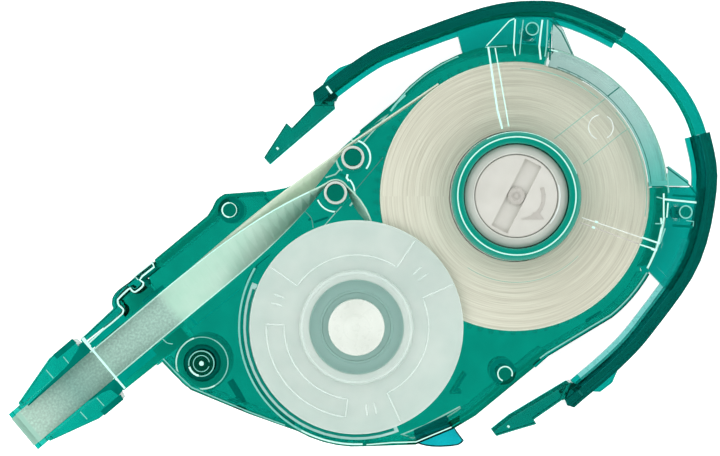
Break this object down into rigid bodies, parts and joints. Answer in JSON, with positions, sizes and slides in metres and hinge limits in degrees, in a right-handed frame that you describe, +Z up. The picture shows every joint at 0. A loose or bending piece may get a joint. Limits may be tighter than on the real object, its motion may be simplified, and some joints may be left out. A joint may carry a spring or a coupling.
{
  "type": "correction tape cartridge",
  "caption": "Clear green correction tape refill: geared supply and take-up reels, slotted tension knob, guide rollers, twisted tape neck with a flat nose and a springy snap bow.",
  "frame": {"origin": "on the supply reel's axis, in the plane the case's back rests on", "axes": "+Z up along the reels' axes, out of the face with the tension knob; +X along the cartridge's length, away from the nose; +Y towards the cover's top lug"},
  "size_m": [0.0982, 0.0623, 0.0124],
  "materials": {
    "clear_green": "clear dyed polystyrene, glossy as moulded",
    "clear_cyan": "thin clear dyed polystyrene",
    "clear_film": "clear faintly green sheet, glossy",
    "natural_clear": "undyed clear plastic, smooth",
    "deep_green": "thick clear dyed polystyrene, glossy",
    "milky_plastic": "milky, half see-through, faint sheen",
    "pale_grey_plastic": "satin moulded plastic",
    "white_plastic": "smooth white moulded plastic",
    "cream_tape": "dull edges of closely wound coated tape",
    "backing_film": "thin slightly shiny release film"
  },
  "bodies": {
    "case": {"rear_case": "clear_green", "neck_clip_arm": "clear_green", "neck_stud": "clear_green", "locating_fin": "clear_cyan", "applicator_tip": "clear_green", "front_cover": "clear_film", "cover_pin_top": "clear_green", "cover_pin_right": "clear_green", "outer_bow": "deep_green", "feed_tape": "cream_tape", "return_tape": "backing_film"},
    "drive": {"drive_gear": "natural_clear", "clutch_spring": "milky_plastic"},
    "supply_reel": {"supply_core": "pale_grey_plastic", "supply_roll": "cream_tape", "tension_knob": "pale_grey_plastic"},
    "takeup_reel": {"takeup_gear": "natural_clear", "takeup_core": "milky_plastic", "used_tape_roll": "backing_film", "takeup_flange": "milky_plastic", "takeup_hub_cap": "white_plastic"},
    "upper_roller": {"guide_roller_upper": "white_plastic"},
    "lower_roller": {"guide_roller_lower": "white_plastic"},
    "upper_hook": {"upper_snap_hook": "clear_green"},
    "lower_hook": {"lower_snap_hook": "clear_green"}
  },
  "joints": [
    {"name": "drive_turn", "type": "hinge", "parent": "case", "child": "drive", "pos_m": [0, 0, 0], "axis": [0, 0, 1], "continuous": true},
    {"name": "clutch_slip", "type": "hinge", "parent": "drive", "child": "supply_reel", "pos_m": [0, 0, 0], "axis": [0, 0, 1], "continuous": true},
    {"name": "takeup_turn", "type": "hinge", "parent": "case", "child": "takeup_reel", "pos_m": [-0.02199, -0.01813, 0], "axis": [0, 0, 1], "continuous": true},
    {"name": "upper_roller_turn", "type": "hinge", "parent": "case", "child": "upper_roller", "pos_m": [-0.0225, 0.0054, 0], "axis": [0, 0, 1], "continuous": true},
    {"name": "lower_roller_turn", "type": "hinge", "parent": "case", "child": "lower_roller", "pos_m": [-0.0249, 0.0005, 0], "axis": [0, 0, 1], "continuous": true},
    {"name": "upper_hook_flex", "type": "hinge", "parent": "case", "child": "upper_hook", "pos_m": [-0.0265, 0.01295, 0], "axis": [0, 0, 1], "range_deg": [-4, 4], "stiffness_Nm_per_rad": 0.6},
    {"name": "lower_hook_flex", "type": "hinge", "parent": "case", "child": "lower_hook", "pos_m": [0.00715, -0.0272, 0], "axis": [0, 0, 1], "range_deg": [-4, 4], "stiffness_Nm_per_rad": 0.6}
  ],
  "couplings": [
    {"joint": "takeup_turn", "follows": "drive_turn", "ratio": -2.0811},
    {"joint": "upper_roller_turn", "follows": "drive_turn", "ratio": 11.688},
    {"joint": "lower_roller_turn", "follows": "drive_turn", "ratio": -11.688}
  ]
}
